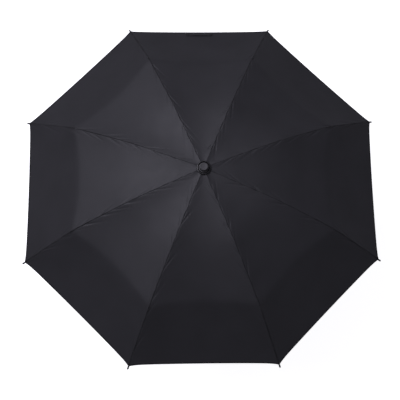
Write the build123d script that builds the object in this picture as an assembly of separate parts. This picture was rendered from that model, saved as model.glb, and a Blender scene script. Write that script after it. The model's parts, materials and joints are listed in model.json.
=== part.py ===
from build123d import *
import math
import os

# A three-fold compact umbrella, open, with a telescopic shaft.
# Units are mm. +Z runs up the shaft and the origin is the centre of the handle's bottom face.
# A rib works in its own upright plane: r is the distance from the shaft, z the height.
# Angles are measured up from the outward horizontal, and "folded" is the collapsed state.

# ---- driving dimensions ----
RIBS = 8
FIRST_RIB = 22.5                 # azimuth of rib 1, so that a flat side of the canopy faces each axis
INNER_LEN = 178.0                # crown pivot to inner knee
MIDDLE_LEN = 168.0               # inner knee to outer knee
OUTER_LEN = 186.0                # outer knee to the end of the tip
RING_R = 11.0                    # radius of the pivot circles in the crown and in the runner
PIVOT_UP = 1.8                   # how far a knee pivot stands off the middle of its ribs
INNER_OPEN, INNER_FOLDED = -7.0, -89.2
MIDDLE_OPEN, MIDDLE_FOLDED = -20.5, 89.4
OUTER_OPEN, OUTER_FOLDED = -38.8, -89.4
STAY_AT = 87.0                   # crown pivot to the stretcher's pivot, along the inner rib
RUNNER_FOLDED = 188.0            # runner pivots below the crown pivots, folded

HANDLE_FLOOR = 64.0              # floor of the tip cup
HANDLE_R = 15.5
CUP_RIM, CUP_R, CUP_WALL = 90.0, 24.0, 2.0
END_CAP_H = 8.0
FLOOR_GAP = 2.0                  # left between the folded tubes and the cup floor

TOP_R, TOP_BORE = 6.4, 6.0       # the three tubes, outermost first
MID_R, MID_BORE = 5.0, 4.6
LOW_R, LOW_BORE = 3.2, 2.8
TUBE_FIT = 0.1                   # radial play at each guide
TUBE_LAP = 40.0                  # length that two tubes share when drawn out
TOP_BELOW = 206.0                # top tube below the crown pivots
MIDDLE_TUBE_LEN = 200.0
MIDDLE_BELOW = 212.0             # foot of the folded middle tube below the crown pivots
NECK, FLARE = 3.0, 4.0           # lengths of the guide at a tube's bottom and at its top

RIB_W, RIB_H, SHEET = 3.4, 2.6, 0.5
STAY_W = 5.0
TONGUE = 1.5
EYE_R, PIN_R, PIN_FIT = 1.9, 0.75, 0.05
WIRE_R = 0.6
ROD_R = 1.1
TIP_R, TIP_LEN = 2.1, 13.0

CROWN_R, CROWN_H = 13.0, 10.0
RUNNER_R, RUNNER_SLEEVE_R = 13.5, 8.6
RUNNER_UP, RUNNER_DOWN = 3.0, 24.0
FABRIC = 0.5                     # upright thickness of the canopy's shell
FABRIC_LIFT = 3.8                # fabric above a knee pivot

# ---- places worked out from them ----
MID_TRAVEL = MIDDLE_TUBE_LEN + TOP_BELOW - TUBE_LAP - MIDDLE_BELOW
LOW_TRAVEL = MIDDLE_TUBE_LEN - TUBE_LAP - FLOOR_GAP
CROWN_Z = HANDLE_FLOOR + FLOOR_GAP + MID_TRAVEL + LOW_TRAVEL + MIDDLE_BELOW
TOP_END = CROWN_Z - TOP_BELOW
MID_TOP = TOP_END + TUBE_LAP
MID_END = MID_TOP - MIDDLE_TUBE_LEN
LOW_TOP = MID_END + TUBE_LAP
LOW_END = 22.0


def along(angle, length, lift=0.0):
    """(r, z) reached from a pivot by going length along a rib at this angle, then lift off it."""
    a = math.radians(angle)
    r = length * math.cos(a) - lift * math.sin(a)
    z = length * math.sin(a) + lift * math.cos(a)
    return r, z


def stay_pivot(angle):
    """(r, z) of the stretcher's pivot, from the crown pivots' level, with the inner rib at this angle."""
    r, z = along(angle, STAY_AT, -PIVOT_UP)
    return RING_R + r, z


folded_pivot = stay_pivot(INNER_FOLDED)
open_pivot = stay_pivot(INNER_OPEN)
STAY_LEN = math.dist(folded_pivot, (RING_R, -RUNNER_FOLDED))
RUNNER_OPEN = math.sqrt(STAY_LEN ** 2 - (open_pivot[0] - RING_R) ** 2) - open_pivot[1]
RUNNER_TRAVEL = RUNNER_FOLDED - RUNNER_OPEN
STAY_OPEN = math.degrees(math.atan2(-RUNNER_OPEN - open_pivot[1], RING_R - open_pivot[0])) + 360.0
STAY_FOLDED = math.degrees(math.atan2(-RUNNER_FOLDED - folded_pivot[1], RING_R - folded_pivot[0])) + 360.0
RUNNER_Z = CROWN_Z - RUNNER_OPEN

knee_r, knee_z = along(INNER_OPEN, INNER_LEN)
INNER_KNEE = (RING_R + knee_r, CROWN_Z + knee_z)
knee_r, knee_z = along(MIDDLE_OPEN, MIDDLE_LEN)
OUTER_KNEE = (INNER_KNEE[0] + knee_r, INNER_KNEE[1] + knee_z)
knee_r, knee_z = along(OUTER_OPEN, OUTER_LEN)
TIP_POINT = (OUTER_KNEE[0] + knee_r, OUTER_KNEE[1] + knee_z)
STAY_POINT = (open_pivot[0], CROWN_Z + open_pivot[1])


def azimuth(k):
    """Azimuth in degrees of rib k, counted from 1."""
    return FIRST_RIB + (k - 1) * 360.0 / RIBS


def drum(radius, z0, z1):
    """A plain cylinder about the shaft's axis."""
    return Pos(0, 0, (z0 + z1) / 2) * Cylinder(radius, z1 - z0)


def pipe(outer, bore, z0, z1):
    return drum(outer, z0, z1) - drum(bore, z0 - 1, z1 + 1)


def block(x0, x1, y0, y1, z0, z1):
    """A box between six faces."""
    return Pos((x0 + x1) / 2, (y0 + y1) / 2, (z0 + z1) / 2) * Box(x1 - x0, y1 - y0, z1 - z0)


def bar(x0, x1, width, z0, z1):
    """A box between x0 and x1 in a rib's frame, centred on the rib's plane."""
    return block(x0, x1, -width / 2, width / 2, z0, z1)


def cross(x, z, radius, width):
    """A cylinder across a rib at x, z, such as an eye, a pin or a hole."""
    return Pos(x, 0, z) * Rot(90, 0, 0) * Cylinder(radius, width)


def in_place(shape, pivot, angle, k):
    """Sets a rib's part, drawn along +X from its pivot, at its open angle on rib k."""
    return Rot(0, 0, azimuth(k)) * Pos(pivot[0], 0, pivot[1]) * Rot(0, -angle, 0) * shape


def channel(x0, x1, width, low, high):
    """A folded sheet channel, open below, with its web on the fabric's side."""
    inside = bar(x0 - 1, x1 + 1, width - 2 * SHEET, low - 1, high - SHEET)
    return bar(x0, x1, width, low, high) - inside


def tongue(x, reach, low, high):
    """A flat eye about a pivot at x, on a plate that reaches back into its channel."""
    plate = bar(min(x, reach), max(x, reach), TONGUE, low, high)
    return plate + cross(x, 0, EYE_R, TONGUE)


def cheeks(x, reach, low, high, width):
    """The two side walls of a fork about a pivot at x."""
    solid = bar(min(x, reach), max(x, reach), width, low, high) + cross(x, 0, EYE_R, width)
    return solid - bar(x - 9, x + 9, width - 2 * SHEET, -9, 9)


def rivet(x, z, width):
    """A pin through a fork of this width, with a low head on each side."""
    shape = cross(x, z, PIN_R, width + 0.6)
    for side in (-1, 1):
        head = Pos(0, side * (width / 2 + 0.3), 0) * cross(x, z, PIN_R + 0.55, 0.4)
        shape = shape + head
    return shape


def inner_rib():
    """Channel from the crown to the inner knee, with the two rivets that it carries."""
    low, high = -PIVOT_UP - RIB_H / 2, -PIVOT_UP + RIB_H / 2
    shape = channel(9, INNER_LEN - 5, RIB_W, low, high)
    shape = shape + tongue(0, 13, low + 0.6, -0.3)
    shape = shape + tongue(INNER_LEN, INNER_LEN - 11, low, -0.3)
    shape = shape - cross(0, 0, WIRE_R + 0.1, 9)
    shape = shape - cross(INNER_LEN, 0, PIN_R, 9)
    shape = shape - cross(STAY_AT, -PIVOT_UP, PIN_R, 9)
    return Compound(children=[
        shape.solid(),
        rivet(INNER_LEN, 0, RIB_W).solid(),
        rivet(STAY_AT, -PIVOT_UP, STAY_W).solid(),
    ])


def stretcher():
    """Wider channel, open towards the inner rib that it closes around, with a tongue for the runner."""
    low, high = -2.3, 1.0
    walls = bar(0, STAY_LEN - 16, STAY_W, low, high) + cross(0, 0, EYE_R, STAY_W)
    walls = walls - bar(-9, STAY_LEN - 9, STAY_W - 2 * SHEET, low - 1, high + 9)
    web = bar(6.5, STAY_LEN - 5, STAY_W, low, low + SHEET)
    plate = bar(STAY_LEN - 8, STAY_LEN, TONGUE, low, 0.5)
    eye = cross(STAY_LEN, 0, EYE_R - 0.6, TONGUE)
    shape = walls + web + plate + eye
    shape = shape - bar(STAY_LEN - 3, STAY_LEN + 1, STAY_W, low - 1, -1.3)
    shape = shape - cross(0, 0, PIN_R + PIN_FIT, 9)
    return shape - cross(STAY_LEN, 0, WIRE_R + 0.1, 9)


def middle_rib():
    """Channel between the knees: forked on the inner knee, tongued and riveted at the outer one."""
    lean = math.degrees(math.asin(2 * PIVOT_UP / MIDDLE_LEN))
    body = channel(6, MIDDLE_LEN - 5, RIB_W, -RIB_H / 2, RIB_H / 2)
    body = Pos(0, 0, -PIVOT_UP) * Rot(0, -lean, 0) * body
    fork = cheeks(0, 9, -PIVOT_UP - 1.1, -0.6, RIB_W)
    lug = tongue(MIDDLE_LEN, MIDDLE_LEN - 11, 0.6, PIVOT_UP + 1.0)
    shape = body + fork + lug
    shape = shape - cross(0, 0, PIN_R + PIN_FIT, 9)
    shape = shape - cross(MIDDLE_LEN, 0, PIN_R, 9)
    return Compound(children=[shape.solid(), rivet(MIDDLE_LEN, 0, RIB_W).solid()])


def outer_rib():
    """Spring steel rod in a short folded bracket that forks over the outer knee."""
    fork = cheeks(0, 6, 0.6, PIVOT_UP + 1.3, RIB_W)
    bracket = bar(5, 16, RIB_W, PIVOT_UP - RIB_H / 2, PIVOT_UP + RIB_H / 2)
    rod = Pos((OUTER_LEN + 6) / 2, 0, PIVOT_UP) * Rot(0, 90, 0) * Cylinder(ROD_R, OUTER_LEN - 16)
    return fork + bracket + rod - cross(0, 0, PIN_R + PIN_FIT, 9)


def rib_tip():
    """Closed cap on the end of the rod, with a shoulder that the canopy's corner is sewn to."""
    profile = Polyline((0, 0), (1.6, 0), (1.6, 4), (TIP_R, 5), (TIP_R, TIP_LEN - 1.5), (1.2, TIP_LEN), (0, TIP_LEN))
    face = make_face(profile + Line((0, TIP_LEN), (0, 0)))
    cap = revolve(face, Axis.Y)
    cap = cap - Pos(0, 4.5, 0) * Rot(90, 0, 0) * Cylinder(ROD_R, 9)
    thread = Pos(0, 2, 0) * Rot(0, 90, 0) * Cylinder(0.4, 8)
    return Pos(OUTER_LEN - TIP_LEN, 0, PIVOT_UP) * Rot(0, 0, -90) * (cap - thread)


def notched(shape, z0, z1):
    """The shape with one slot for each rib, from the sleeve outwards."""
    for k in range(1, RIBS + 1):
        slot = block(RUNNER_SLEEVE_R, 20, -2.8, 2.8, z0, z1)
        shape = shape - Rot(0, 0, azimuth(k)) * slot
    return shape


def crown():
    """Notched hub that is pinned on top of the shaft: the tie wire holds the ribs' eyes in its groove."""
    z0, z1 = CROWN_Z - CROWN_H / 2, CROWN_Z + CROWN_H / 2
    shape = drum(CROWN_R, z0, z1) + drum(TOP_R + 1.0, z0 - 3, z0)
    shape = shape - drum(TOP_R, z0 - 6, z1 - 3) - drum(2.0, z1 - 4, z1 + 1)
    groove = pipe(CROWN_R + 1, RING_R - WIRE_R, CROWN_Z - WIRE_R - 0.1, CROWN_Z + WIRE_R + 0.1)
    shape = shape - groove
    for k in range(1, RIBS + 1):
        slot = block(8.0, 20, -1.1, 1.1, z0 - 1, z1 - 2)
        shape = shape - Rot(0, 0, azimuth(k)) * slot
    return shape


def crown_tie_wire():
    return Pos(0, 0, CROWN_Z) * Torus(RING_R, WIRE_R)


def runner():
    """Notched flange over a sleeve that slides on the top tube, with a thumb ring at its foot."""
    z1, z0 = RUNNER_Z + RUNNER_UP, RUNNER_Z - RUNNER_DOWN
    flange = notched(drum(RUNNER_R, z1 - 6, z1), z1 - 7, z1 + 1)
    sleeve = drum(RUNNER_SLEEVE_R, z0, z1 - 1)
    ring = drum(12.0, z0, z0 + 3.5)
    return flange + sleeve + ring - drum(TOP_R + TUBE_FIT, z0 - 1, z1 + 1)


def top_tube():
    """Outermost tube, under the crown, necked at its foot to guide the middle tube."""
    shape = pipe(TOP_R, TOP_BORE, TOP_END, CROWN_Z + CROWN_H / 2 - 3)
    shape = shape + pipe(TOP_R, MID_R + TUBE_FIT, TOP_END, TOP_END + NECK)
    tooth_top = RUNNER_Z - RUNNER_DOWN - 0.3
    return shape - block(-1.3, 1.3, -9, 0, tooth_top - 7, tooth_top + 0.5)


def middle_tube():
    """Middle tube, flared at its top and necked at its foot."""
    shape = pipe(MID_R, MID_BORE, MID_END, MID_TOP)
    shape = shape + pipe(MID_R, LOW_R + TUBE_FIT, MID_END, MID_END + NECK)
    flare = pipe(TOP_BORE - TUBE_FIT, MID_BORE, MID_TOP - FLARE, MID_TOP)
    shape = shape + (flare - block(-1.8, 1.8, -9, -MID_R, MID_TOP - 9, MID_TOP + 1))
    tooth_top = TOP_END - 0.3
    return shape - block(-1.1, 1.1, -9, 0, tooth_top - 5.5, tooth_top + 0.3)


def lower_tube():
    """Innermost tube, fixed in the handle."""
    shape = pipe(LOW_R, LOW_BORE, LOW_END, LOW_TOP)
    flare = pipe(MID_BORE - TUBE_FIT, LOW_BORE, LOW_TOP - FLARE, LOW_TOP)
    shape = shape + (flare - block(-1.5, 1.5, -9, -LOW_R - 0.2, LOW_TOP - 9, LOW_TOP + 1))
    tooth_top = MID_END - 0.3
    shape = shape - block(-0.9, 0.9, -9, 0, tooth_top - 5.5, tooth_top + 0.3)
    return shape - Pos(0, 0, 34) * Rot(90, 0, 0) * Cylinder(1.5, 20)


def catch(face, leaf_width, tooth_width, reach, tooth_top, tooth_len):
    """Leaf spring against a tube's wall, with a tooth whose square top carries the tube above."""
    leaf = block(-leaf_width / 2, leaf_width / 2, -face, -face + 0.25, tooth_top - 9, tooth_top + 20)
    profile = Polyline(
        (-face + 0.1, tooth_top),
        (-reach, tooth_top),
        (-reach, tooth_top - 1.2),
        (-face + 0.1, tooth_top - tooth_len),
        (-face + 0.1, tooth_top),
    )
    tooth = extrude(Plane.YZ * make_face(profile), tooth_width / 2, both=True)
    return leaf + tooth


def handle_grip():
    """Moulded grip with a straight barrel that flares out to the tip cup's seat."""
    profile = Polyline(
        (0, END_CAP_H),
        (HANDLE_R, END_CAP_H),
        (HANDLE_R, 52),
        (17.5, HANDLE_FLOOR - 4),
        (0, HANDLE_FLOOR - 4),
        (0, END_CAP_H),
    )
    shape = revolve(Plane.XZ * make_face(profile), Axis.Z)
    shape = shape - drum(LOW_R, LOW_END, 80)
    shape = shape - drum(11.0, 0, 16)
    return shape - Pos(0, 0, 34) * Rot(90, 0, 0) * Cylinder(1.5, 23)


def tip_cup():
    """Cup on top of the grip that takes the folded rib tips."""
    profile = Polyline(
        (0, HANDLE_FLOOR - 4),
        (17.5, HANDLE_FLOOR - 4),
        (CUP_R, HANDLE_FLOOR + 8),
        (CUP_R, CUP_RIM),
        (CUP_R - CUP_WALL, CUP_RIM),
        (CUP_R - CUP_WALL, HANDLE_FLOOR + 9),
        (16.5, HANDLE_FLOOR),
        (0, HANDLE_FLOOR),
        (0, HANDLE_FLOOR - 4),
    )
    return revolve(Plane.XZ * make_face(profile), Axis.Z) - drum(LOW_R, 50, 80)


def handle_end_cap():
    """Plug in the grip's foot, with the eyelet that a wrist cord can be tied to."""
    shape = drum(HANDLE_R - 0.3, 0, END_CAP_H) + drum(11.0, END_CAP_H, 15)
    shape = fillet(shape.faces().sort_by(Axis.Z)[0].edges(), 2.5)
    return shape - Pos(0, 0, 3.6) * Rot(0, 90, 0) * Cylinder(1.8, 40)


def handle_pin():
    return Pos(0, 0, 34) * Rot(90, 0, 0) * Cylinder(1.5, 23)


def cap_washer():
    """Disc that clamps the middle of the canopy on the crown."""
    z = CROWN_Z + CROWN_H / 2 + 2.0
    return drum(17.0, z, z + 0.8) - drum(2.0, z - 1, z + 2)


def top_cap():
    """Turned cap that screws down on the canopy."""
    z = CROWN_Z + CROWN_H / 2 + 2.8
    shape = drum(12.5, z, z + 1.4) + drum(10.0, z, z + 11)
    shape = fillet(shape.faces().sort_by(Axis.Z)[-1].edges(), 1.8)
    return shape - drum(2.0, z - 1, z + 7)


def cap_stud():
    z = CROWN_Z + CROWN_H / 2
    return drum(2.0, z - 3, z + 9)


def octagon(radius, z):
    return Plane.XY.offset(z) * RegularPolygon(radius, RIBS, rotation=FIRST_RIB)


def canopy_line():
    """(r, z) of the canopy's outer face along a rib, from the cap to the hem."""
    crown_top = CROWN_Z + CROWN_H / 2
    r1, z1 = along((INNER_OPEN + MIDDLE_OPEN) / 2, 0, FABRIC_LIFT)
    r2, z2 = along((MIDDLE_OPEN + OUTER_OPEN) / 2, 0, FABRIC_LIFT + 0.6)
    r3, z3 = along(OUTER_OPEN, -TIP_LEN + 3, PIVOT_UP + 2.4)
    return [
        (14.5, crown_top + 1.7),
        (INNER_KNEE[0] + r1, INNER_KNEE[1] + z1),
        (OUTER_KNEE[0] + r2, OUTER_KNEE[1] + z2),
        (TIP_POINT[0] + r3, TIP_POINT[1] + z3),
    ]


def dome(shift):
    """The canopy's outline as one closed solid, moved up by shift."""
    line = canopy_line()
    shape = None
    for (r0, z0), (r1, z1) in zip(line, line[1:]):
        zone = loft([octagon(r0, z0 + shift), octagon(r1, z1 + shift)], ruled=True)
        shape = zone if shape is None else shape + zone
    return shape


def canopy():
    """Eight-panel cover as a thin shell, open below, with a hole for the cap's stud."""
    top = canopy_line()[0][1]
    return dome(0) - dome(-FABRIC) - drum(2.3, top - 9, top + 9)


def on_hem(x0, x1, y0, y1, z0, z1):
    """A box on the outer zone of the panel that faces +Y: x along the hem, y up the panel, z off it."""
    (r0, z0_line), (r1, z1_line) = canopy_line()[2:]
    flat = math.cos(math.pi / RIBS)
    slope = math.degrees(math.atan2(z0_line - z1_line, (r1 - r0) * flat))
    shape = block(x0, x1, y0, y1, z0, z1)
    return Pos(0, r1 * flat, z1_line) * Rot(-slope, 0, 0) * Rot(0, 0, 180) * shape


def closure_strap():
    """Fabric tab sewn by the hem, which wraps round the folded umbrella."""
    return on_hem(-38, 38, 6, 22, 0.4, 1.2)


def closure_snap():
    return Compound(children=[on_hem(28, 34, 11, 17, 1.2, 2.4).solid(), on_hem(-34, -28, 11, 17, 1.2, 2.4).solid()])


def main():
    os.makedirs("parts", exist_ok=True)
    nodes = {
        "handle_grip": handle_grip(),
        "handle_end_cap": handle_end_cap(),
        "handle_pin": handle_pin(),
        "tip_cup": tip_cup(),
        "lower_tube": lower_tube(),
        "middle_tube": middle_tube(),
        "top_tube": top_tube(),
        "lower_catch": catch(2.4, 1.6, 1.2, 3.8, MID_END - 0.3, 5.0),
        "middle_catch": catch(4.2, 2.0, 1.6, 5.7, TOP_END - 0.3, 5.0),
        "runner_catch": catch(5.55, 2.4, 2.0, 8.0, RUNNER_Z - RUNNER_DOWN - 0.3, 6.5),
        "crown": crown(),
        "crown_tie_wire": crown_tie_wire(),
        "runner": runner(),
        "cap_stud": cap_stud(),
        "cap_washer": cap_washer(),
        "top_cap": top_cap(),
        "canopy": canopy(),
        "closure_strap": closure_strap(),
        "closure_snap": closure_snap(),
    }
    for k in range(1, RIBS + 1):
        crown_pivot = (RING_R, CROWN_Z)
        nodes[f"inner_rib_{k}"] = in_place(inner_rib(), crown_pivot, INNER_OPEN, k)
        nodes[f"stretcher_{k}"] = in_place(stretcher(), STAY_POINT, STAY_OPEN, k)
        nodes[f"middle_rib_{k}"] = in_place(middle_rib(), INNER_KNEE, MIDDLE_OPEN, k)
        nodes[f"outer_rib_{k}"] = in_place(outer_rib(), OUTER_KNEE, OUTER_OPEN, k)
        nodes[f"rib_tip_{k}"] = in_place(rib_tip(), OUTER_KNEE, OUTER_OPEN, k)
    for name, shape in nodes.items():
        export_step(shape, f"parts/{name}.step")


main()
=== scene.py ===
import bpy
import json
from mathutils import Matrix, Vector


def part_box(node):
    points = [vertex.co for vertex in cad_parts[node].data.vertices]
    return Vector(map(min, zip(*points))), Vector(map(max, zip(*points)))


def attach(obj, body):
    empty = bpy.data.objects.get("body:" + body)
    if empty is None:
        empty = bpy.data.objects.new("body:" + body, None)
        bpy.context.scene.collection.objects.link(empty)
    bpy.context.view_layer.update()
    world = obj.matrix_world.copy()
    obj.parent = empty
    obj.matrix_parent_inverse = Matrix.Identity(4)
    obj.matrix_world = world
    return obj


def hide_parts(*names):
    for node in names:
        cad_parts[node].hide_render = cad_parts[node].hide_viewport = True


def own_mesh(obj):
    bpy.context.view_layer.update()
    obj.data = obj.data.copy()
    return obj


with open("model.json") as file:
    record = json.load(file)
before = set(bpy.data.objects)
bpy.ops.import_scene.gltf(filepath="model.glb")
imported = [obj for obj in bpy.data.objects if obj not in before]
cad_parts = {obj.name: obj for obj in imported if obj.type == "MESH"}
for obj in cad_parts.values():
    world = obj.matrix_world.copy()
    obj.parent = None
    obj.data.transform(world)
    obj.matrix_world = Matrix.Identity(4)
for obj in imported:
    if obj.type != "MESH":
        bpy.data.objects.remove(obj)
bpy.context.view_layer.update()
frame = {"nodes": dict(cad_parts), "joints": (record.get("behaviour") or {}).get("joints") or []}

import json
import math

import bmesh
import bpy
import numpy as np
from mathutils import Vector

# ---- Lower tube, middle tube, top tube ----
# Three seamless steel tubes, plated bright and drawn so that each slides in the next one out.
# The lower one is pinned in the grip, and the draw leaves faint lines along all three.


def new_material(name, base, rough, metal=0.0):
    """A Principled material: returns it with its node tree, its shader and its object coordinates."""
    mat = bpy.data.materials.new(name)
    mat.use_nodes = True
    tree = mat.node_tree
    shader = tree.nodes["Principled BSDF"]
    shader.inputs["Base Color"].default_value = (*base, 1.0)
    shader.inputs["Roughness"].default_value = rough
    shader.inputs["Metallic"].default_value = metal
    coords = tree.nodes.new("ShaderNodeTexCoord")
    return mat, tree, shader, coords.outputs["Object"]


def add_node(tree, kind, links=None, **settings):
    """One shader node with its settings; links gives an input's name the socket that feeds it."""
    node = tree.nodes.new(kind)
    for key, value in settings.items():
        if hasattr(node, key):
            setattr(node, key, value)
        else:
            node.inputs[key.replace("_", " ")].default_value = value
    for key, socket in (links or {}).items():
        tree.links.new(socket, node.inputs[key])
    return node


def speckle(tree, coords, scale, detail=3.0):
    """Noise of this scale, in lumps per metre."""
    noise = add_node(tree, "ShaderNodeTexNoise", {"Vector": coords}, Scale=scale, Detail=detail)
    return noise.outputs["Fac"]


def remap(tree, value, low, high, start=0.0, end=1.0):
    """Turns a value's start..end into low..high."""
    ends = {"From_Min": start, "From_Max": end, "To_Min": low, "To_Max": high}
    return add_node(tree, "ShaderNodeMapRange", {"Value": value}, **ends).outputs["Result"]


def combine(tree, operation, a, b):
    """The socket that one Math operation on two sockets gives."""
    return add_node(tree, "ShaderNodeMath", {0: a, 1: b}, operation=operation).outputs[0]


def vary_roughness(tree, shader, fac, low, high):
    """Lets a noise move the roughness between two values."""
    tree.links.new(remap(tree, fac, low, high), shader.inputs["Roughness"])


def add_bump(tree, shader, height, strength, distance):
    """Fine relief in the shading, distance metres deep."""
    bump = add_node(tree, "ShaderNodeBump", {"Height": height}, Strength=strength, Distance=distance)
    tree.links.new(bump.outputs["Normal"], shader.inputs["Normal"])


def drawn_tube_steel():
    mat, tree, shader, coords = new_material("drawn_tube_steel", (0.60, 0.60, 0.62), 0.2, 1.0)
    long_lines = add_node(tree, "ShaderNodeMapping", {"Vector": coords}, Scale=(900.0, 900.0, 6.0))
    lines = speckle(tree, long_lines.outputs["Vector"], 1.0, 2.0)
    smears = speckle(tree, coords, 60.0)
    vary_roughness(tree, shader, combine(tree, "MULTIPLY", lines, smears), 0.14, 0.42)
    add_bump(tree, shader, lines, 0.15, 0.00002)
    return mat


def paint_nodes(mat, *names):
    """Gives CAD nodes one material."""
    for name in names:
        slots = frame["nodes"][name].data.materials
        slots.clear()
        slots.append(mat)


paint_nodes(drawn_tube_steel(), "lower_tube", "middle_tube", "top_tube")

# ---- Spring catches ----
# Blued leaf springs bent to a tooth, one inside each tube, that snap out through a slot.
# They hold the runner up and keep the tubes drawn out until a thumb presses them in.


def blued_spring_steel():
    mat, tree, shader, coords = new_material("blued_spring_steel", (0.20, 0.21, 0.25), 0.35, 1.0)
    vary_roughness(tree, shader, speckle(tree, coords, 400.0), 0.28, 0.5)
    return mat


paint_nodes(blued_spring_steel(), "lower_catch", "middle_catch", "runner_catch")

# ---- Crown and runner ----
# Two notched hubs moulded in black glass-filled nylon, with a fine spark-eroded skin.
# The ribs turn in the crown on a ring of tinned wire, tied off in its groove.


def moulded_nylon():
    mat, tree, shader, coords = new_material("moulded_nylon", (0.014, 0.014, 0.016), 0.5)
    grain = speckle(tree, coords, 2600.0, 2.0)
    vary_roughness(tree, shader, grain, 0.42, 0.62)
    add_bump(tree, shader, grain, 0.25, 0.00004)
    return mat


def bright_wire():
    mat, tree, shader, coords = new_material("bright_wire", (0.55, 0.55, 0.54), 0.25, 1.0)
    vary_roughness(tree, shader, speckle(tree, coords, 700.0), 0.2, 0.4)
    return mat


paint_nodes(moulded_nylon(), "crown", "runner")
paint_nodes(bright_wire(), "crown_tie_wire", "handle_pin", "cap_stud")

# ---- Ribs and stretchers ----
# Folded from sheet steel and riveted, then dipped in black enamel that is thin on the edges.
# The outer ribs are spring-steel rod in a pressed bracket, with the same coat.


def black_enamel(name, base, worn):
    mat, tree, shader, coords = new_material(name, base, 0.32)
    blotch = speckle(tree, coords, 90.0, 4.0)
    thin = add_node(tree, "ShaderNodeValToRGB", {"Fac": blotch})
    thin.color_ramp.elements[0].position = 0.45
    thin.color_ramp.elements[0].color = (*base, 1.0)
    thin.color_ramp.elements[1].position = 0.8
    thin.color_ramp.elements[1].color = (*worn, 1.0)
    tree.links.new(thin.outputs["Color"], shader.inputs["Base Color"])
    vary_roughness(tree, shader, speckle(tree, coords, 500.0), 0.25, 0.42)
    add_bump(tree, shader, speckle(tree, coords, 900.0), 0.1, 0.00003)
    return mat


rib_numbers = range(1, 9)
sheet_enamel = black_enamel("sheet_enamel", (0.012, 0.012, 0.013), (0.03, 0.03, 0.032))
for n in rib_numbers:
    paint_nodes(sheet_enamel, f"inner_rib_{n}", f"stretcher_{n}", f"middle_rib_{n}", f"outer_rib_{n}")

# ---- Rib tips ----
# Pressed steel caps, black-plated and crimped on the ends of the rods.
# The canopy's corners are sewn to them.


def tip_plating():
    mat, tree, shader, coords = new_material("tip_plating", (0.010, 0.010, 0.011), 0.35)
    vary_roughness(tree, shader, speckle(tree, coords, 800.0), 0.28, 0.45)
    return mat


black_plating = tip_plating()
for n in rib_numbers:
    paint_nodes(black_plating, f"rib_tip_{n}")

# ---- Canopy ----
# Eight gores of black pongee, seamed over the ribs and pulled tight, so that each dips between its
# ribs and breaks softly over the knees. One skin is worked out, then cut along the ribs, the middles
# of the gores and across the links, because each piece of cloth folds with its own rib link.
scene = bpy.context.scene
panel_half = math.radians(22.5)
panel_cos = math.cos(panel_half)
panel_tan = math.tan(panel_half)


def pivot_of(joint_name):
    """(distance from the shaft, height) of a hinge at rest."""
    joint = next(j for j in frame["joints"] if j["name"] == joint_name)
    x, y, z = joint["pos_m"]
    return math.hypot(x, y), z


inner_knee = pivot_of("middle_fold_1")
outer_knee = pivot_of("outer_fold_1")
washer_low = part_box("cap_washer")[0].z
hub_edge = 0.0145

# the rib line of the cloth, as (distance from the shaft, height) from the cap to the corner
inner_lift, outer_lift = 0.0068, 0.0048
corner_reach, corner_height = 0.48483, 0.40246
rib_line = [
    (hub_edge, washer_low - 0.0003),
    (inner_knee[0] + 0.0009, inner_knee[1] + inner_lift),
    (outer_knee[0] + 0.0022, outer_knee[1] + outer_lift),
    (corner_reach, corner_height),
]
slopes = [(a[1] - b[1]) / (b[0] - a[0]) / panel_cos for a, b in zip(rib_line, rib_line[1:])]
slopes = [0.0] + slopes
breaks = [p[0] * panel_cos for p in rib_line]

# how softly the cloth bends at the hub and the knees, on the rib and between two ribs
bend_at_rib = (0.003, 0.030, 0.004)
bend_between = (0.004, 0.060, 0.009)
break_inset = (0.0, 0.0, 0.014)

# how far a gore dips and its hem curves in
dip = 0.008
deepest = 0.326                  # the greatest x * x * (1 - x ** 3), where the dip is full
hem_hollow = 0.0020
corner_draw = 0.003

# the sewing: a valley along the seam, puckers beside it, a pinch at the outer knee, a faint ripple
seam_depth, seam_width, seam_pitch = 0.0018, 0.0014, 0.031
pucker_depth, pucker_reach, pucker_pitch = 0.0010, 0.004, 0.034
pucker_slant = 2.5
knee_pinch, pinch_reach, pinch_length = 0.0014, 0.003, 0.010
ripple_height, ripple_reach, ripple_pitch = 0.0003, 0.03, 0.07
knee_length = 0.012
hub_fade = 0.03


def smooth_ramp(x, h):
    """0 before a break and x after it, rounded over about h."""
    return (x + np.sqrt(x * x + h * h)) / 2


def rough_wave(x, seed, pitch):
    """An uneven wave in -1..1 that never repeats exactly, as sewn cloth has."""
    a = np.sin(2 * np.pi * x / pitch + seed * 1.7)
    b = np.sin(2 * np.pi * x / (pitch * 1.618) + seed * 2.9 + 1.1)
    c = np.sin(2 * np.pi * x / (pitch * 0.731) + seed * 4.3 + 2.3)
    return (a + b + 0.6 * c) / 2.6


def beside_seam(from_rib, reach):
    """0 on the seam, 1 at this distance from it, then fading out."""
    return from_rib / reach * np.exp(1 - from_rib / reach)


def tight_cloth(rho, w):
    """Height of the cloth without its sewing: the rib line, soft at its breaks, and the dip."""
    z = np.full_like(rho, rib_line[0][1])
    for i in range(3):
        bend = bend_between[i] + (bend_at_rib[i] - bend_between[i]) * w ** 2
        inset = break_inset[i] * (1 - w * w)
        reach = breaks[3] - breaks[i]
        fall = (slopes[i + 1] - slopes[i]) * reach / (reach + inset)
        z = z - fall * smooth_ramp(rho - breaks[i] + inset, bend)
    x = rho / breaks[3]
    return z - dip * (1 - w * w) * x * x * (1 - x ** 3) / deepest


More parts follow.
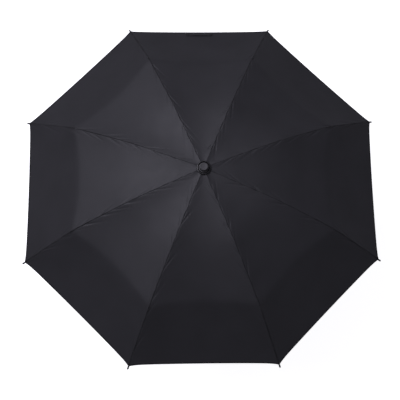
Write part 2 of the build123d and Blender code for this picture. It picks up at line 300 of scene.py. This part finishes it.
def skin(rho, w, seed):
    """Height of the cloth: rho out along the gore, w from 0 in its middle to 1 on the rib."""
    z = tight_cloth(rho, w)
    off_hub = np.clip((rho - breaks[0]) / hub_fade, 0, 1)
    from_rib = (1 - w) * rho * panel_tan
    # the thread draws the seam into a valley, deeper towards the hem and eased over the knees
    uneven = 0.6 * rough_wave(rho, np.round(seed / 2), seam_pitch)
    pull = np.clip(0.15 + 0.75 * rho / breaks[3] + uneven, 0, 1)
    over_knee = sum(np.exp(-(((rho - knee) / knee_length) ** 2)) for knee in breaks[1:])
    valley = np.exp(-((from_rib / seam_width) ** 2))
    z = z - seam_depth * pull * (1 - 0.5 * over_knee) * valley * off_hub
    off_middle = np.clip(4 * w, 0, 1) * off_hub
    # puckers run off the seam at a slant, deepest where the thread draws hardest
    slanted = rough_wave(rho + pucker_slant * from_rib, seed, pucker_pitch)
    puckers = np.clip(slanted + 0.05, 0, 1) * (0.4 + pull)
    z = z - pucker_depth * puckers * beside_seam(from_rib, pucker_reach) * off_middle
    # the tie at the outer knee pinches the cloth beside the rib
    pinch = np.exp(-(((rho - breaks[2]) / pinch_length) ** 2)) * beside_seam(from_rib, pinch_reach)
    z = z - knee_pinch * pinch * (1 + 0.6 * rough_wave(rho, seed + 7.0, 0.05))
    # and a faint ripple runs out into the open cloth
    ripple = rough_wave(rho + 0.35 * from_rib, seed + 3.0, ripple_pitch) * np.exp(-from_rib / ripple_reach)
    return z + ripple_height * ripple * np.clip(from_rib / pucker_reach, 0, 1) * off_middle


def hem_line(w):
    """How far out the hem runs, from the middle of a gore to its corner."""
    return breaks[3] - hem_hollow * (1 - w * w) - corner_draw * (1 - w ** 14)


def rib_azimuth(n):
    """Direction of a rib about the shaft."""
    return panel_half + (n - 1) * 2 * panel_half


def gore_seed(n, side):
    """A seed for the sewing of a half gore, nearly alike on both sides of its rib."""
    return n * 2.0 + 0.3 * side


def cloth_point(rho, w, azimuth, side, seed):
    """Points of the skin; side is +1 or -1 for the rib's left or right gore."""
    middle = azimuth + side * panel_half
    t = -side * w * rho * panel_tan
    z = skin(rho, w, seed)
    x = rho * math.cos(middle) - t * math.sin(middle)
    y = rho * math.sin(middle) + t * math.cos(middle)
    return np.stack([x, y, z], axis=-1)


def cloth_normal(rho, w, azimuth, side, seed):
    """Upward normals of the skin, from the points a short step either way."""
    e = 0.0004
    across = cloth_point(rho, np.clip(w + e * 4, 0, 1), azimuth, side, seed)
    across = across - cloth_point(rho, np.clip(w - e * 4, 0, 1), azimuth, side, seed)
    out = cloth_point(rho + e, w, azimuth, side, seed) - cloth_point(rho - e, w, azimuth, side, seed)
    n = np.cross(out, across) * side
    n = n * np.sign(n[..., 2:3])
    return n / np.linalg.norm(n, axis=-1, keepdims=True)


def across_steps():
    """Places across half a gore, close together by the rib where the seam puckers."""
    close = [0, 0.0018, 0.0036, 0.0056, 0.008, 0.012, 0.018, 0.025, 0.033]
    wider = [0.042, 0.052, 0.064, 0.078, 0.094, 0.115, 0.14]
    return np.concatenate([1 - np.array(close + wider), np.linspace(0.82, 0.0, 12)])


def pongee():
    """Plain weave of fine yarn, bluish black and satin, with painted shade along its seams and at its
    hem's fold.
    """
    mat, tree, shader, coords = new_material("pongee", (0.012, 0.012, 0.014), 0.6)
    uv = add_node(tree, "ShaderNodeTexCoord").outputs["UV"]
    warp = add_node(tree, "ShaderNodeTexWave", {"Vector": uv}, Scale=900.0, bands_direction="X")
    weft = add_node(tree, "ShaderNodeTexWave", {"Vector": uv}, Scale=900.0, bands_direction="Y")
    weave = combine(tree, "MAXIMUM", warp.outputs["Fac"], weft.outputs["Fac"])
    tint = add_node(tree, "ShaderNodeValToRGB", {"Fac": speckle(tree, coords, 14.0, 4.0)})
    tint.color_ramp.elements[0].position = 0.3
    tint.color_ramp.elements[0].color = (0.0100, 0.0100, 0.0118, 1.0)
    tint.color_ramp.elements[1].position = 0.75
    tint.color_ramp.elements[1].color = (0.0145, 0.0142, 0.0168, 1.0)
    place = add_node(tree, "ShaderNodeSeparateXYZ", {"Vector": uv})
    # painted shade in the seam's valley: a dark line that widens from the hub to the hem, and is fainter
    # in places
    seam_shade_width = remap(tree, place.outputs["Y"], 0.0010, 0.0034, 0.10, 0.42)
    off_shade_line = add_node(tree, "ShaderNodeMapRange", {"Value": place.outputs["X"]}, From_Min=0.0002)
    tree.links.new(seam_shade_width, off_shade_line.inputs["From Max"])
    fainter = remap(tree, speckle(tree, coords, 38.0, 1.0), 0.45, 0.0, 0.42, 0.58)
    off_seam_shade = combine(tree, "MAXIMUM", off_shade_line.outputs["Result"], fainter)
    # painted shade at the hem's fold, where the rolled edge and the hem turned under it would be in shadow
    hem_fold = add_node(tree, "ShaderNodeAttribute", attribute_name="hem_fold").outputs["Fac"]
    plain = combine(tree, "MULTIPLY", off_seam_shade, remap(tree, hem_fold, 1.0, 0.0))
    colour = add_node(tree, "ShaderNodeMix", {"Factor": plain}, data_type="RGBA")
    # colour A is the painted shade of the seam lines and of the hem's fold
    colour.inputs["A"].default_value = (0.003, 0.003, 0.0035, 1.0)
    tree.links.new(tint.outputs["Color"], colour.inputs["B"])
    tree.links.new(colour.outputs["Result"], shader.inputs["Base Color"])
    satin = remap(tree, speckle(tree, coords, 45.0), 0.58, 0.66)
    rough = combine(tree, "ADD", satin, remap(tree, plain, 0.4, 0.0))
    tree.links.new(rough, shader.inputs["Roughness"])
    add_bump(tree, shader, weave, 0.12, 0.00006)
    shader.inputs["Sheen Weight"].default_value = 0.02
    shader.inputs["Sheen Roughness"].default_value = 0.5
    return mat


def collapse(piece):
    """Gives a piece its own copy of its mesh."""
    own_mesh(piece)


def sheet_mesh(name, points, normals, uv):
    """A grid of points as a smooth mesh, with its own normals and a UV map in metres."""
    rows, cols = points.shape[:2]
    verts = points.reshape(-1, 3)
    index = np.arange(rows * cols).reshape(rows, cols)
    corners = [index[:-1, :-1], index[1:, :-1], index[1:, 1:], index[:-1, 1:]]
    quads = np.stack(corners, axis=-1).reshape(-1, 4)
    a, b, c = (verts[quads[:, i]] for i in range(3))
    if (np.cross(b - a, c - a) * normals.reshape(-1, 3)[quads[:, 0]]).sum() < 0:
        quads = quads[:, ::-1]
    mesh = bpy.data.meshes.new(name)
    mesh.from_pydata(verts.tolist(), [], quads.tolist())
    layer = mesh.uv_layers.new(name="UVMap")
    loops = np.empty(len(mesh.loops), dtype=np.int64)
    mesh.loops.foreach_get("vertex_index", loops)
    layer.data.foreach_set("uv", uv.reshape(-1, 2)[loops].ravel())
    mesh.shade_smooth()
    mesh.normals_split_custom_set_from_vertices(normals.reshape(-1, 3).tolist())
    piece = bpy.data.objects.new(name, mesh)
    scene.collection.objects.link(piece)
    return piece


hem_width = 0.008
hem_drop = 0.0007
# how far the painted shade reaches in from the hem's fold
fold_shade_band = 0.0035
allowance = 0.0025
seam_roll = 0.0002


def turn_under(points, normals, uv):
    """Adds rows past the last one that roll over the edge and run back under it, as a hem does."""
    edge, up = points[-1], normals[-1]
    inward = points[-3] - edge
    inward = inward / np.linalg.norm(inward, axis=-1, keepdims=True)
    # each row's place: how far in from the edge, and how far down as a share of the drop
    rolls = ((-0.0003, -0.35), (0.0001, -0.8), (0.3 * hem_width, -1.0), (hem_width, -1.0))
    rows = [edge + inward * a + up * b * hem_drop for a, b in rolls]
    facing = [-inward, -up - inward * 0.4, -up, -up]
    facing = [f / np.linalg.norm(f, axis=-1, keepdims=True) for f in facing]
    cloth_steps = [0.0004, 0.0009, 0.3 * hem_width, hem_width]
    uvs = [uv[-1] + np.array([0.0, step]) for step in cloth_steps]
    normals = normals.copy()
    normals[-1] = up - 0.6 * inward
    normals[-1] /= np.linalg.norm(normals[-1], axis=-1, keepdims=True)
    return (
        np.concatenate([points, np.stack(rows)]),
        np.concatenate([normals, np.stack(facing)]),
        np.concatenate([uv, np.stack(uvs)]),
    )


def seam_allowance(points, normals, uv):
    """Adds columns past the rib that hang under the seam, as the sewn-in edge of the gore does."""
    edge, up = points[:, :1], normals[:, :1]
    away = points[:, 1:2] - edge
    away = away / np.linalg.norm(away, axis=-1, keepdims=True)
    under = edge + away * seam_roll - up * seam_roll * 4
    hanging = edge + away * seam_roll * 2 - up * allowance
    points = np.concatenate([hanging, under, points], axis=1)
    normals = np.concatenate([-away, -away, normals], axis=1)
    uv = np.concatenate([uv[:, :1], uv[:, :1], uv], axis=1)
    return points, normals, uv


def mark_fold_shade(piece, points, fold_row):
    """Writes the mask of painted shade at the hem: how near each point is to the fold of the hem, from 1
    on it and under it to 0 inside the cloth.
    """
    inside = np.linalg.norm(points - points[fold_row], axis=-1)
    near = np.exp(-((inside / fold_shade_band) ** 2))
    near[fold_row:] = 1.0
    layer = piece.data.attributes.new("hem_fold", "FLOAT", "POINT")
    layer.data.foreach_set("value", near.ravel())


cloth = pongee()
# each rib link carries three lengths of cloth
lengths = []
for zone, link in enumerate(("inner", "middle", "outer")):
    marks = np.linspace(breaks[zone], breaks[zone + 1], 4)
    for letter, start, end in zip("abc", marks, marks[1:]):
        lengths.append((f"{link}_{letter}", f"{link}_rib", float(start), float(end)))
hem_name, _, hem_start, hem_end = lengths[-1]


def canopy_piece(name, link, start, end, n, side, hand):
    """One length of one half gore, from the rib to the gore's middle, riding on its rib link."""
    at_hem = name == hem_name
    azimuth, seed = rib_azimuth(n), gore_seed(n, side)
    steps = 1 - np.linspace(1, 0, 25) ** (1.5 if at_hem else 1.0)
    w_steps = across_steps()
    w = np.broadcast_to(w_steps, (len(steps), len(w_steps)))
    stop = hem_line(w) if at_hem else np.full_like(w, end)
    rho = start + steps[:, None] * (stop - start)
    points = cloth_point(rho, w, azimuth, side, seed)
    normals = cloth_normal(rho, w, azimuth, side, seed)
    uv = np.stack([(1 - w) * rho * panel_tan, rho], axis=-1)
    width = float(np.ptp(w * rho * panel_tan))
    length = float(np.linalg.norm(points[-1, -1] - points[0, -1]))
    if at_hem:
        points, normals, uv = turn_under(points, normals, uv)
        length = length + hem_width
    if start > breaks[0]:
        points, normals, uv = seam_allowance(points, normals, uv)
        width = width + allowance
    piece = sheet_mesh(f"canopy_{name}_{n}_{hand}", points, normals, uv)
    if at_hem:
        mark_fold_shade(piece, points, len(steps) - 1)
    piece.data.materials.append(cloth)
    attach(piece, f"{link}_{n}")
    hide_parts("canopy")
    collapse(piece)


hands = ((1, "left"), (-1, "right"))
for n in rib_numbers:
    for side, hand in hands:
        for name, link, start, end in lengths:
            canopy_piece(name, link, start, end, n, side, hand)

# ---- Hub cloth ----
# The points of the eight gores meet under the washer in an eight-sided patch of the same cloth.
# It stays on the shaft with the crown, and its edge is turned down over the crown.
hub_hole, hub_turn_down = 0.0025, 0.004
hub_rho = np.array([hub_hole, 0.006, 0.010, breaks[0]])
around = np.linspace(0, 2 * math.pi, 8 * 12 + 1)
to_gore = (around + panel_half) % (2 * panel_half) - panel_half
hub_r = hub_rho[:, None] / np.cos(to_gore)
hub_w = np.abs(np.tan(to_gore)) / panel_tan + 0 * hub_r
hub_z = skin(np.broadcast_to(hub_rho[:, None], hub_r.shape), hub_w, 0.0)
hub_r = np.concatenate([hub_r, hub_r[-1:] + 0.0004, hub_r[-1:] + 0.0006])
hub_z = np.concatenate([hub_z, hub_z[-1:] - hub_turn_down / 4, hub_z[-1:] - hub_turn_down])
hub_points = np.stack([hub_r * np.cos(around), hub_r * np.sin(around), hub_z], axis=-1)
outward = np.stack([np.cos(around), np.sin(around), 0 * around], axis=-1)
upward = np.broadcast_to([0.0, 0.0, 1.0], (4,) + outward.shape)
hub_normals = np.concatenate([upward, [outward, outward]])
# a UV this far from any seam also lies outside the painted seam shade
plain_cloth = 0.02               # a UV this far from any seam, where the weave is plain
hub_uv = np.stack([plain_cloth + 0 * hub_r, hub_r], axis=-1)
hub_cloth = sheet_mesh("hub_cloth", hub_points, hub_normals, hub_uv)
hub_cloth.data.materials.append(cloth)
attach(hub_cloth, "top_tube")
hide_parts("canopy")

# ---- Cap ----
# A turned cap in satin grey plastic screws down on the shaft's stud and holds the canopy's hub.
# Its top is slightly dished, with a rounded edge, and a flange spreads its grip.


def turned(name, profile, turns=72, sharp=35.0):
    """A closed solid of revolution about the shaft from (radius, height) points, bottom to top."""
    verts, faces, rings = [], [], []
    for r, z in profile:
        if r == 0:
            rings.append([len(verts)])
            verts.append((0.0, 0.0, z))
            continue
        rings.append(list(range(len(verts), len(verts) + turns)))
        for i in range(turns):
            a = 2 * math.pi * i / turns
            verts.append((r * math.cos(a), r * math.sin(a), z))
    for low, high in zip(rings, rings[1:]):
        for i in range(turns):
            j = (i + 1) % turns
            if len(low) == 1:
                faces.append((low[0], high[j], high[i]))
            elif len(high) == 1:
                faces.append((low[i], low[j], high[0]))
            else:
                faces.append((low[i], low[j], high[j], high[i]))
    mesh = bpy.data.meshes.new(name)
    mesh.from_pydata(verts, [], faces)
    mesh.shade_smooth()
    mesh.set_sharp_from_angle(angle=math.radians(sharp))
    piece = bpy.data.objects.new(name, mesh)
    scene.collection.objects.link(piece)
    return piece


def arc_points(centre, radius, start, end, count):
    """Points (radius, height) of an arc, its angles in degrees."""
    angles = np.radians(np.linspace(start, end, count))
    return [(centre[0] + radius * math.cos(a), centre[1] + radius * math.sin(a)) for a in angles]


def satin_cap():
    mat, tree, shader, coords = new_material("satin_cap", (0.030, 0.030, 0.031), 0.55)
    ring_lines = add_node(tree, "ShaderNodeMapping", {"Vector": coords}, Scale=(1.0, 1.0, 900.0))
    vary_roughness(tree, shader, speckle(tree, ring_lines.outputs["Vector"], 350.0), 0.5, 0.62)
    add_bump(tree, shader, speckle(tree, coords, 1500.0), 0.1, 0.00003)
    return mat


cap_low, cap_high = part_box("top_cap")[0].z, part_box("top_cap")[1].z
flange_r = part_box("top_cap")[1].x
flange_top = cap_low + 0.0020
flange_round, neck_round = 0.0008, 0.0012
cap_r, cap_edge, cap_dish = 0.0101, 0.0016, 0.0004
cap_profile = [(0.0, cap_low), (flange_r - 0.0006, cap_low), (flange_r, cap_low + 0.0005)]
cap_profile += arc_points((flange_r - flange_round, flange_top - flange_round), flange_round, 0, 90, 6)
cap_profile += arc_points((cap_r + neck_round, flange_top + neck_round), neck_round, 270, 180, 6)
cap_profile += arc_points((cap_r - cap_edge, cap_high - cap_edge), cap_edge, 0, 90, 8)
cap_profile += [(cap_r - 0.0022, cap_high - 0.25 * cap_dish), (cap_r - 0.0034, cap_high - 0.75 * cap_dish)]
cap_profile += [(0.0, cap_high - cap_dish)]
cap = turned("cap", cap_profile)
cap.data.materials.append(satin_cap())
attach(cap, "top_tube")
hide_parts("top_cap")

# ---- Washer ----
# A dished disc in gloss black plastic spreads the cap's pull over the canopy's eight points.
# Its rim is rolled up round the cap, so that water runs off over it.


def gloss_black():
    mat, tree, shader, coords = new_material("gloss_black", (0.008, 0.008, 0.0085), 0.3)
    vary_roughness(tree, shader, speckle(tree, coords, 160.0), 0.24, 0.38)
    return mat


washer_r, washer_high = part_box("cap_washer")[1].x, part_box("cap_washer")[1].z
rim, slope_up, slope_in = 0.0019, 0.0012, 0.0026
washer_profile = [(0.0, washer_low), (washer_r - rim, washer_low)]
washer_profile += arc_points((washer_r - rim, washer_low + rim), rim, -90, 100, 12)
washer_profile += [(washer_r - rim - slope_up, washer_high + slope_up)]
washer_profile += [(washer_r - rim - slope_in, washer_high), (0.0, washer_high)]
washer = turned("dished_washer", washer_profile)
washer.data.materials.append(gloss_black())
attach(washer, "top_tube")
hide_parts("cap_washer")

# ---- Hem stitching ----
# A row of lockstitch in black polyester thread holds the turned hem, 6 mm in from the edge.
# Each stitch is a short bead of thread; the row follows the hem of its own half gore.


def geometry_tree(name, inputs):
    """A Geometry Nodes group with named inputs: (name, socket type, default)."""
    tree = bpy.data.node_groups.new(name, "GeometryNodeTree")
    tree.interface.new_socket("Geometry", in_out="INPUT", socket_type="NodeSocketGeometry")
    for label, kind, default in inputs:
        socket = tree.interface.new_socket(label, in_out="INPUT", socket_type=kind)
        if default is not None:
            socket.default_value = default
    tree.interface.new_socket("Geometry", in_out="OUTPUT", socket_type="NodeSocketGeometry")
    return tree, tree.nodes.new("NodeGroupInput"), tree.nodes.new("NodeGroupOutput")


def stitch_tree():
    tree, given, result = geometry_tree("stitch_row", [
        ("Pitch", "NodeSocketFloat", 0.0032),
        ("Stitch Length", "NodeSocketFloat", 0.0024),
        ("Thread", "NodeSocketFloat", 0.0005),
        ("Material", "NodeSocketMaterial", None),
    ])
    links = tree.links
    line = tree.nodes.new("GeometryNodeMeshToCurve")
    links.new(given.outputs["Geometry"], line.inputs["Mesh"])
    spaced = tree.nodes.new("GeometryNodeResampleCurve")
    spaced.mode = "LENGTH"
    links.new(line.outputs["Curve"], spaced.inputs["Curve"])
    links.new(given.outputs["Pitch"], spaced.inputs["Length"])
    bead = tree.nodes.new("GeometryNodeMeshIcoSphere")
    bead.inputs["Radius"].default_value = 0.5
    bead.inputs["Subdivisions"].default_value = 1
    tangent = tree.nodes.new("GeometryNodeInputTangent")
    turn = tree.nodes.new("FunctionNodeAlignRotationToVector")
    turn.axis = "X"
    links.new(tangent.outputs["Tangent"], turn.inputs["Vector"])
    size = tree.nodes.new("ShaderNodeCombineXYZ")
    links.new(given.outputs["Stitch Length"], size.inputs["X"])
    links.new(given.outputs["Thread"], size.inputs["Y"])
    links.new(given.outputs["Thread"], size.inputs["Z"])
    place = tree.nodes.new("GeometryNodeInstanceOnPoints")
    links.new(spaced.outputs["Curve"], place.inputs["Points"])
    links.new(bead.outputs["Mesh"], place.inputs["Instance"])
    links.new(turn.outputs["Rotation"], place.inputs["Rotation"])
    links.new(size.outputs["Vector"], place.inputs["Scale"])
    real = tree.nodes.new("GeometryNodeRealizeInstances")
    links.new(place.outputs["Instances"], real.inputs["Geometry"])
    finish = tree.nodes.new("GeometryNodeSetMaterial")
    links.new(real.outputs["Geometry"], finish.inputs["Geometry"])
    links.new(given.outputs["Material"], finish.inputs["Material"])
    links.new(finish.outputs["Geometry"], result.inputs["Geometry"])
    return tree


def grow(name, mesh, tree, values):
    """Runs a tree on a mesh and keeps the result as a plain mesh object of this name."""
    seed_object = bpy.data.objects.new(name, mesh)
    scene.collection.objects.link(seed_object)
    modifier = seed_object.modifiers.new("made", "NODES")
    modifier.node_group = tree
    for item in tree.interface.items_tree:
        if item.in_out == "INPUT" and item.name in values:
            modifier[item.identifier] = values[item.name]
    bpy.context.view_layer.update()
    ready = seed_object.evaluated_get(bpy.context.evaluated_depsgraph_get())
    made = bpy.data.meshes.new_from_object(ready)
    seed_object.modifiers.remove(modifier)
    seed_object.data = made
    made.name = name
    return seed_object


def sewing_thread():
    mat, tree, shader, coords = new_material("sewing_thread", (0.02, 0.02, 0.023), 0.45)
    twist = add_node(tree, "ShaderNodeMapping", {"Vector": coords}, Scale=(3000.0, 3000.0, 3000.0))
    fibres = speckle(tree, twist.outputs["Vector"], 1.0, 2.0)
    vary_roughness(tree, shader, fibres, 0.35, 0.6)
    return mat


thread = sewing_thread()
stitches = stitch_tree()
stitch_pitch, stitch_inset = 0.0032, 0.006
thread_lift = 0.0001
level_share = 0.77               # how far out the steep cloth at the hem goes for each metre along it
row_start = 0.985                # where the row begins, just short of the corner

for n in rib_numbers:
    for side, hand in hands:
        place = (rib_azimuth(n), side, gore_seed(n, side))
        w = np.linspace(row_start, 0.0, 40)
        rho = hem_line(w) - stitch_inset * level_share
        path = cloth_point(rho, w, *place) + cloth_normal(rho, w, *place) * thread_lift
        mesh = bpy.data.meshes.new("hem_path")
        mesh.from_pydata(path.tolist(), [(i, i + 1) for i in range(len(path) - 1)], [])
        row = grow(f"hem_stitches_{n}_{hand}", mesh, stitches, {"Pitch": stitch_pitch, "Material": thread})
        row.data.shade_smooth()
        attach(row, f"outer_rib_{n}")
        collapse(row)

# ---- Closure strap and its snap ----
# A tab of the canopy's own cloth, folded double, lies along the hem at the back.
# It wraps round the folded canopy, and a black press stud near each end closes it.
strap_half = 0.038
strap_low, strap_high = 0.007, 0.021
strap_middle = (strap_low + strap_high) / 2
strap_width = strap_high - strap_low
strap_off, strap_thick, strap_bulge, strap_ripple = 0.0004, 0.0009, 0.0016, 0.0003
strap_fold = 0.0006


def back_panel(x, up_from_hem, lift):
    """Points on the back gore at x across, this far up the slope from its hem, and off it by lift."""
    rho = breaks[3] - hem_hollow - corner_draw - up_from_hem * level_share
    w = np.abs(x) / (rho * panel_tan)
    z = np.empty_like(rho)
    facing = np.empty(rho.shape + (3,))
    for n, side, half in ((2, 1, x >= 0), (3, -1, x < 0)):
        seed = gore_seed(n, side)
        z[half] = skin(rho[half], w[half], seed)
        facing[half] = cloth_normal(rho[half], w[half], rib_azimuth(n), side, seed)
    return np.stack([x, rho, z], axis=-1) + facing * lift[..., None], facing


strap_x = np.linspace(-strap_half, strap_half, 45)
inner_rows = np.linspace(strap_low + 0.002, strap_high - 0.002, 8)
strap_s = np.array([strap_low, strap_low + strap_fold, *inner_rows, strap_high - strap_fold, strap_high])
grid_x, grid_s = np.meshgrid(strap_x, strap_s)
rounded = 1 - (np.abs(grid_s - strap_middle) / (strap_width / 2)) ** 6
end_round = 1 - (np.abs(grid_x) / strap_half) ** 10
ripple = strap_ripple * rough_wave(grid_x + 0.3 * grid_s, 5.0, 0.02)
arch = strap_bulge * (1 - (grid_x / strap_half) ** 2) * (grid_s - strap_low) / strap_width
top, top_n = back_panel(grid_x, grid_s, strap_off + strap_thick * rounded * end_round + arch + ripple)
low, low_n = back_panel(grid_x, grid_s, 0.75 * strap_off + arch * 0.9)
strap_points = np.concatenate([top, low[::-1]])
strap_normals = np.concatenate([top_n, -low_n[::-1]])
strap_uv = np.stack([plain_cloth + grid_s, grid_x], axis=-1)
strap_uv = np.concatenate([strap_uv, strap_uv[::-1]])
strap = sheet_mesh("closure_strap_cloth", strap_points, strap_normals, strap_uv)
strap.data.materials.append(cloth)
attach(strap, "outer_rib_2")
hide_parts("closure_strap")
collapse(strap)


def stud_mesh(name, centre, normal, radius, height):
    """A press stud: a domed cap with a rolled rim, turned about its normal."""
    across = normal.orthogonal().normalized()
    along = normal.cross(across)
    rim_line = [(1.0, 0.0), (1.04, 0.25), (0.98, 0.5), (0.86, 0.55)]
    dome_line = [(0.8, 0.45), (0.62, 0.7), (0.34, 0.92), (0.1, 1.0)]
    profile = rim_line + dome_line
    turns = 32
    verts = []
    for r, h in profile:
        for i in range(turns):
            a = 2 * math.pi * i / turns
            spoke = across * math.cos(a) + along * math.sin(a)
            verts.append(centre + spoke * r * radius + normal * h * height)
    verts.append(centre + normal * height)
    verts.append(centre.copy())
    faces = []
    rings = len(profile)
    for ring in range(rings - 1):
        here, above = ring * turns, (ring + 1) * turns
        for i in range(turns):
            j = (i + 1) % turns
            faces.append((here + i, here + j, above + j, above + i))
    for i in range(turns):
        j = (i + 1) % turns
        faces.append(((rings - 1) * turns + i, (rings - 1) * turns + j, rings * turns))
        faces.append((j, i, rings * turns + 1))
    mesh = bpy.data.meshes.new(name)
    mesh.from_pydata([tuple(v) for v in verts], [], faces)
    mesh.shade_smooth()
    stud = bpy.data.objects.new(name, mesh)
    scene.collection.objects.link(stud)
    return stud


stud_at, stud_lift, stud_r, stud_height = 0.031, 0.0018, 0.0046, 0.0014
for end, x in (("near", stud_at), ("far", -stud_at)):
    at, out = back_panel(np.array([x]), np.array([strap_middle]), np.array([stud_lift]))
    stud = stud_mesh(f"closure_stud_{end}", Vector(at[0]), Vector(out[0]), stud_r, stud_height)
    stud.data.materials.append(black_plating)
    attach(stud, "outer_rib_2")
    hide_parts("closure_snap")
    collapse(stud)

# ---- Handle ----
# A moulded barrel with a soft-touch coat, pinned on the lower tube.
# A gloss cup on top takes the folded tips, and a gloss plug with an eyelet closes the bottom.


def soft_touch():
    mat, tree, shader, coords = new_material("soft_touch", (0.018, 0.018, 0.02), 0.6)
    grain = speckle(tree, coords, 1800.0, 2.0)
    vary_roughness(tree, shader, grain, 0.52, 0.7)
    add_bump(tree, shader, grain, 0.2, 0.00004)
    return mat


def gloss_moulding():
    mat, tree, shader, coords = new_material("gloss_moulding", (0.01, 0.01, 0.011), 0.15)
    vary_roughness(tree, shader, speckle(tree, coords, 120.0), 0.1, 0.22)
    return mat


paint_nodes(soft_touch(), "handle_grip")
paint_nodes(gloss_moulding(), "tip_cup", "handle_end_cap")

# ---- Studio ----
# White paper all round, seen by the camera alone, and an even pale light from the sky.
# Two soft lights stand high at the back left and one on the left, so those gores are the lightest.


def studio_stage(name, mesh, material):
    """A piece of the studio that only the camera sees, so it throws no light up at the black cloth."""
    piece = bpy.data.objects.new(name, mesh)
    piece.visible_diffuse = False
    piece.visible_glossy = False
    scene.collection.objects.link(piece)
    mesh.materials.append(material)
    return piece


def white_paper():
    """Bright matt paper, lit evenly enough to read as pure white."""
    mat, tree, shader, coords = new_material("studio_white", (0.9, 0.9, 0.9), 0.9)
    shader.inputs["Emission Color"].default_value = (1.0, 1.0, 1.0, 1.0)
    shader.inputs["Emission Strength"].default_value = 0.85
    return mat


def studio_floor():
    """A sheet of paper that hides nothing when it is looked at from below."""
    mesh = bpy.data.meshes.new("studio_floor")
    half, level = 12.0, -0.002
    rim = [(-half, -half, level), (half, -half, level), (half, half, level), (-half, half, level)]
    mesh.from_pydata(rim, [], [(0, 1, 2, 3)])
    paper = white_paper()
    tree = paper.node_tree
    underneath = add_node(tree, "ShaderNodeNewGeometry").outputs["Backfacing"]
    clear = add_node(tree, "ShaderNodeBsdfTransparent").outputs["BSDF"]
    lit = tree.nodes["Principled BSDF"].outputs["BSDF"]
    pick = add_node(tree, "ShaderNodeMixShader", {0: underneath, 1: lit, 2: clear})
    tree.links.new(pick.outputs["Shader"], tree.nodes["Material Output"].inputs["Surface"])
    studio_stage("studio_floor", mesh, paper)


def studio_dome():
    """A white bowl turned over the floor, far behind everything."""
    mesh = bpy.data.meshes.new("studio_dome")
    build = bmesh.new()
    bmesh.ops.create_uvsphere(build, u_segments=48, v_segments=24, radius=11.5)
    bmesh.ops.reverse_faces(build, faces=build.faces)
    build.to_mesh(mesh)
    build.free()
    glow = bpy.data.materials.new("studio_glow")
    glow.use_nodes = True
    shader = glow.node_tree.nodes["Principled BSDF"]
    shader.inputs["Emission Color"].default_value = (1.0, 1.0, 1.0, 1.0)
    shader.inputs["Emission Strength"].default_value = 1.1
    dome = studio_stage("studio_dome", mesh, glow)
    dome.visible_shadow = False


studio_dome()
studio_floor()

scene.view_settings.view_transform = "Standard"
pale_blue = (0.88, 0.86, 1.0)
world = bpy.data.worlds.new("studio_world")
world.use_nodes = True
world.node_tree.nodes["Background"].inputs["Color"].default_value = (*pale_blue, 1.0)
world.node_tree.nodes["Background"].inputs["Strength"].default_value = 0.235
scene.world = world


def soft_light(name, azimuth, elevation, power):
    """A round soft box three metres off, aimed at the canopy."""
    light = bpy.data.lights.new(name, "AREA")
    light.shape = "DISK"
    light.size = 1.6
    light.energy = power
    light.color = pale_blue
    lamp = bpy.data.objects.new(name, light)
    lamp.visible_camera = False
    up, round_it = math.radians(elevation), math.radians(azimuth)
    away = Vector((math.cos(up) * math.cos(round_it), math.cos(up) * math.sin(round_it), math.sin(up)))
    lamp.location = Vector((0, 0, 0.5)) + 3.0 * away
    lamp.rotation_euler = away.to_track_quat("Z", "Y").to_euler()
    scene.collection.objects.link(lamp)


soft_light("key", 135, 60, 40.0)
soft_light("side", 180, 60, 20.0)
soft_light("back", 135, 40, 10.0)

# the camera looks down on the open umbrella from a step in front of it
camera_data = bpy.data.cameras.new("camera")
camera_data.lens = 87.85
camera_data.sensor_width = 36.0
camera = bpy.data.objects.new("camera", camera_data)
look_at = Vector((-0.0039, -0.0230, corner_height - 0.01))
distance = 2.52
elevation, turn, roll = math.radians(74.41), math.radians(-6.16), math.radians(5.56)
reach = math.cos(elevation)
direction = Vector((math.sin(turn) * reach, -math.cos(turn) * reach, math.sin(elevation)))
camera.location = look_at + distance * direction
camera.rotation_euler = (-direction).to_track_quat("-Z", "Y").to_euler()
camera.rotation_euler.rotate_axis("Z", roll)
scene.collection.objects.link(camera)
scene.camera = camera
